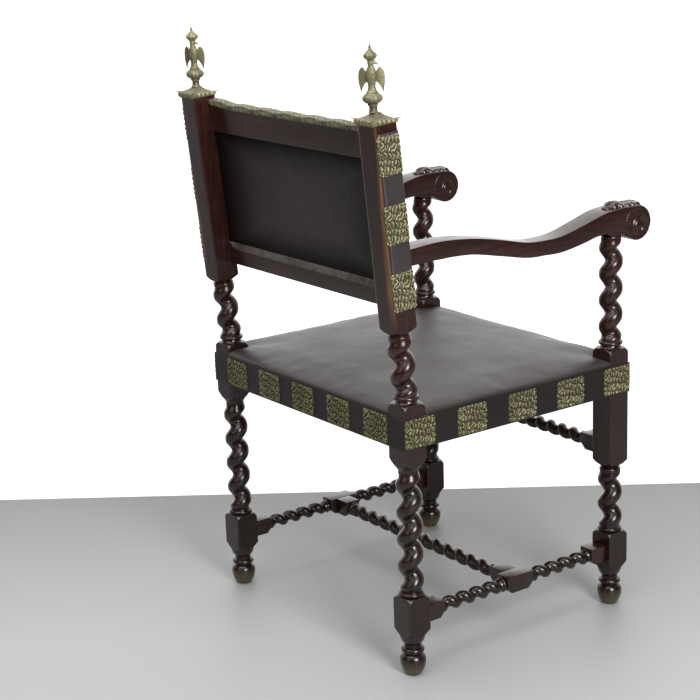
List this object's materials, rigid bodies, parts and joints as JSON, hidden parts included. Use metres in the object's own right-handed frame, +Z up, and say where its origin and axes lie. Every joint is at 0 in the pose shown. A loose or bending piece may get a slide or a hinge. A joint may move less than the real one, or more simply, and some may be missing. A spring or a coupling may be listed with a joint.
{
  "type": "armchair",
  "caption": "Carved wooden armchair with spiral turned posts and stretchers, leather seat and back, scrolled arms and pierced brass mounts.",
  "frame": {"origin": "on the floor, under the middle of the chair's box", "axes": "+Z up, -Y towards the sitter's front, +X to the sitter's left"},
  "size_m": [0.575, 0.599, 1.051],
  "materials": {
    "wood": "polished dark red-brown",
    "frame_wood": "plain unpolished",
    "leather": "satin, worn",
    "lining": "matte",
    "webbing": "woven jute",
    "hessian": "open woven jute",
    "stuffing": "packed fibre",
    "brass": "patinated",
    "cast_brass": "patinated cast",
    "steel": "plain"
  },
  "bodies": {
    "root": {"rear_post_left": "wood", "rear_post_right": "wood", "front_post_left": "wood", "front_post_right": "wood", "side_stretcher_left": "wood", "side_stretcher_right": "wood", "cross_stretcher": "wood", "front_stretcher": "wood", "arm_left": "wood", "arm_right": "wood", "back_top_rail": "wood", "back_bottom_rail": "wood", "seat_rail_front": "frame_wood", "seat_rail_rear": "frame_wood", "seat_rail_left": "frame_wood", "seat_rail_right": "frame_wood", "corner_block_front_left": "frame_wood", "corner_block_front_right": "frame_wood", "corner_block_rear_left": "frame_wood", "corner_block_rear_right": "frame_wood", "seat_leather": "leather", "back_leather": "leather", "back_lining": "lining", "webbing_lengthwise": "webbing", "webbing_crosswise": "webbing", "seat_hessian": "hessian", "seat_stuffing": "stuffing", "back_padding": "stuffing", "plaques_seat_front": "brass", "plaques_seat_rear": "brass", "plaques_seat_left": "brass", "plaques_seat_right": "brass", "plaques_stile_left": "brass", "plaques_stile_right": "brass", "plaques_back_top": "brass", "cap_plate_left": "cast_brass", "cap_plate_right": "cast_brass", "finial_left": "cast_brass", "finial_right": "cast_brass", "finial_pin_left": "steel", "finial_pin_right": "steel"}
  },
  "joints": []
}
